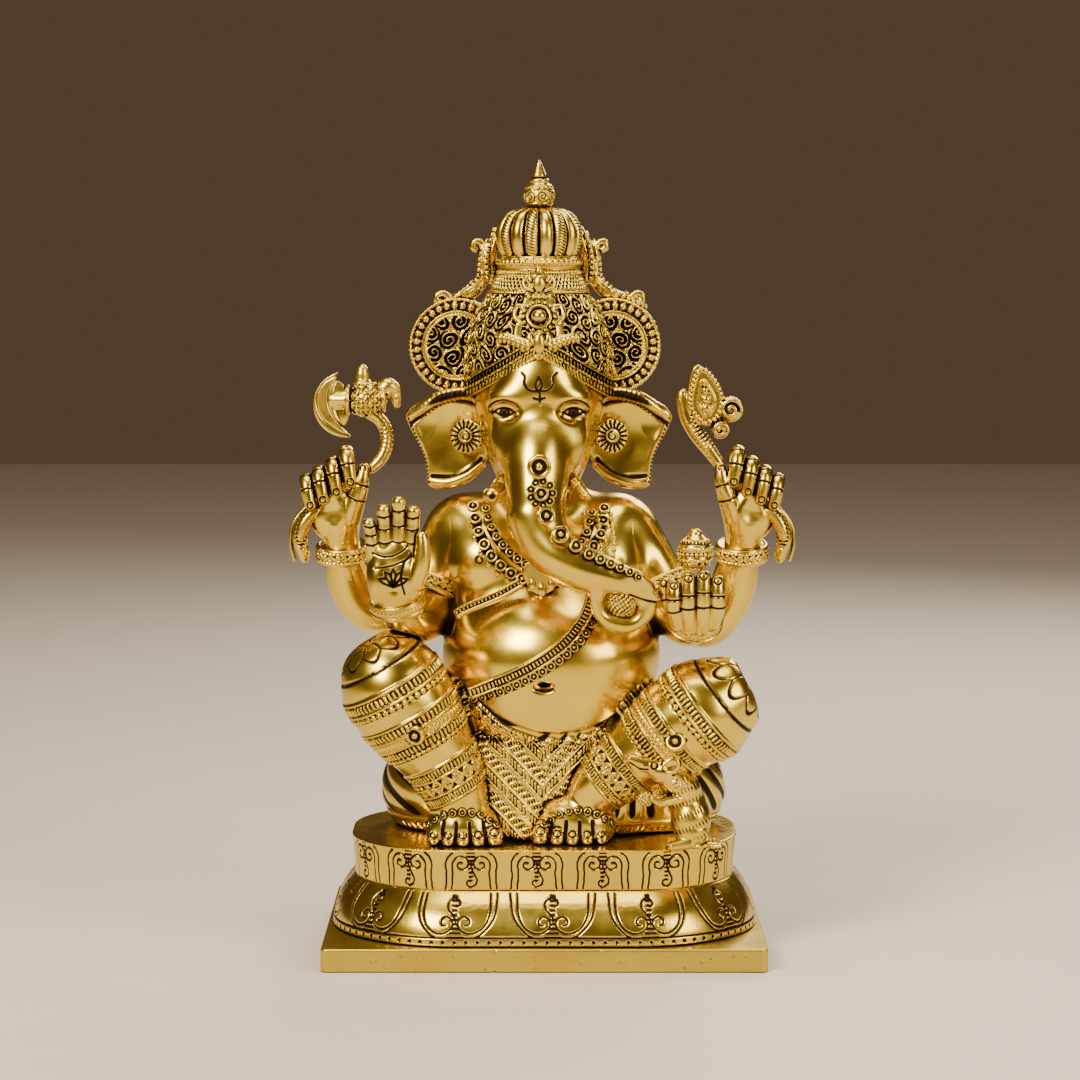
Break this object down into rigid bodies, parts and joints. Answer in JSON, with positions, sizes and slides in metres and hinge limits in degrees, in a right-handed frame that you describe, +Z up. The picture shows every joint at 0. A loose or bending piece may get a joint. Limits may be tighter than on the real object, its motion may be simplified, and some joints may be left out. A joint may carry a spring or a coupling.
{
  "type": "ganesha idol",
  "caption": "Seated four-armed elephant-headed devotional figure in cast brass on a two-tier oval pedestal with a flat slab.",
  "frame": {"origin": "centre of the slab's underside, the face that it stands on", "axes": "+Z up, -Y the way the figure faces, +X the figure's left"},
  "size_m": [0.244, 0.15, 0.378],
  "materials": {
    "figure_brass": "polished cast brass with dark patina in the engraving",
    "slab_brass": "satin cast brass",
    "steel_fixings": "plain turned steel"
  },
  "bodies": {
    "root": {"axe_head": "figure_brass", "axe_shaft": "figure_brass", "base_slab": "slab_brass", "chest_strap": "figure_brass", "crown_cap": "figure_brass", "crown_crest": "figure_brass", "crown_dome": "figure_brass", "crown_finial": "figure_brass", "crown_neck_ring": "figure_brass", "dhoti_apron": "figure_brass", "fixing_nuts": "steel_fixings", "fixing_studs": "steel_fixings", "fixing_washers": "steel_fixings", "front_left_arm": "figure_brass", "front_left_bracelet": "figure_brass", "front_left_hand": "figure_brass", "front_right_arm": "figure_brass", "front_right_bracelet": "figure_brass", "front_right_hand": "figure_brass", "head": "figure_brass", "headband": "figure_brass", "left_armlet": "figure_brass", "left_crown_scroll": "figure_brass", "left_crown_wing": "figure_brass", "left_ear": "figure_brass", "left_earring": "figure_brass", "left_leg": "figure_brass", "left_tusk": "figure_brass", "lotus_goad": "figure_brass", "lotus_pedestal": "figure_brass", "mouse": "figure_brass", "mouse_foot_plate": "figure_brass", "mouse_sweet": "figure_brass", "necklace": "figure_brass", "necklace_pendant": "figure_brass", "rear_left_arm": "figure_brass", "rear_left_bracelet": "figure_brass", "rear_left_hand": "figure_brass", "rear_left_ribbon": "figure_brass", "rear_right_arm": "figure_brass", "rear_right_bracelet": "figure_brass", "rear_right_hand": "figure_brass", "rear_right_ribbon": "figure_brass", "right_armlet": "figure_brass", "right_crown_scroll": "figure_brass", "right_crown_wing": "figure_brass", "right_ear": "figure_brass", "right_earring": "figure_brass", "right_leg": "figure_brass", "right_tusk": "figure_brass", "sacred_thread": "figure_brass", "seat_platform": "figure_brass", "sweet_pot": "figure_brass", "torso": "figure_brass", "trunk": "figure_brass", "trunk_sweet": "figure_brass", "waist_belt": "figure_brass"}
  },
  "joints": []
}
